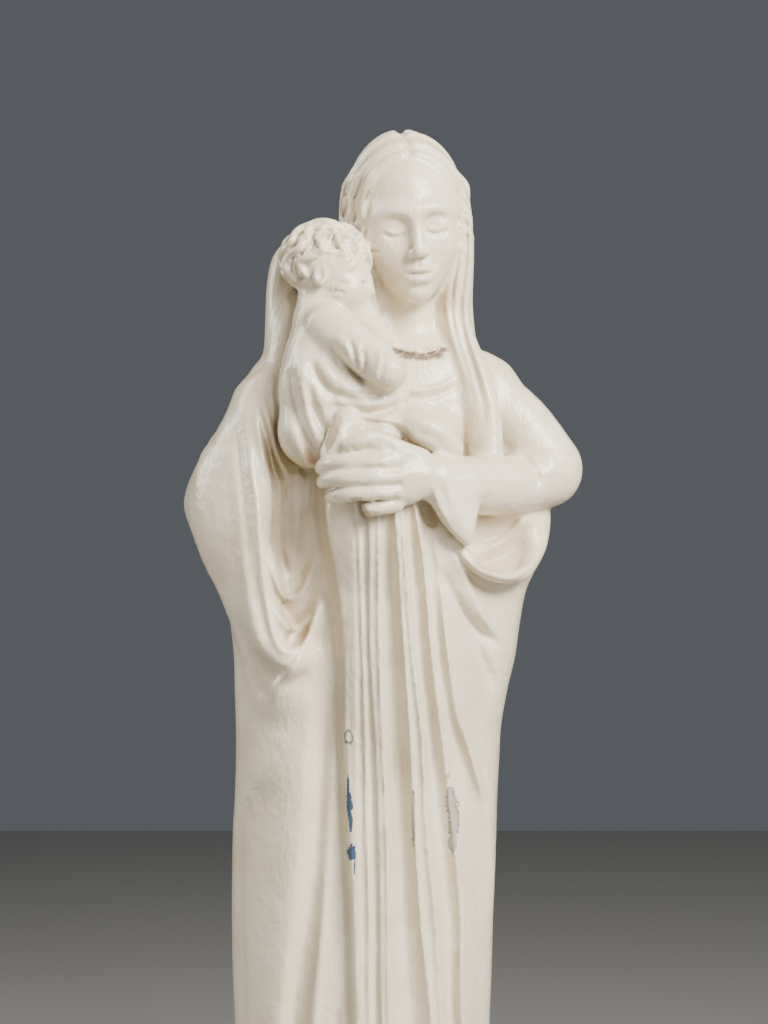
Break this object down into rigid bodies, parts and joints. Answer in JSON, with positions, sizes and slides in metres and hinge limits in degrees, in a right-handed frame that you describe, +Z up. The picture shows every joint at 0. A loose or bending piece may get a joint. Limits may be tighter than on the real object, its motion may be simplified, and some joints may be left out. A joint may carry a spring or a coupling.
{
  "type": "virgin mary statue",
  "caption": "Standing mother holding a child on her arm, a cast plaster figure painted gloss white, on a low oval base that stands on a flat surface.",
  "frame": {"origin": "middle of the flat underside of the base", "axes": "+Z up along the figure, the figure looks along -Y, +X is towards the arm that carries the child from below"},
  "size_m": [0.1978, 0.141, 0.6347],
  "materials": {
    "painted_plaster": null
  },
  "bodies": {
    "root": {"madonna_and_child": "painted_plaster"}
  },
  "joints": []
}
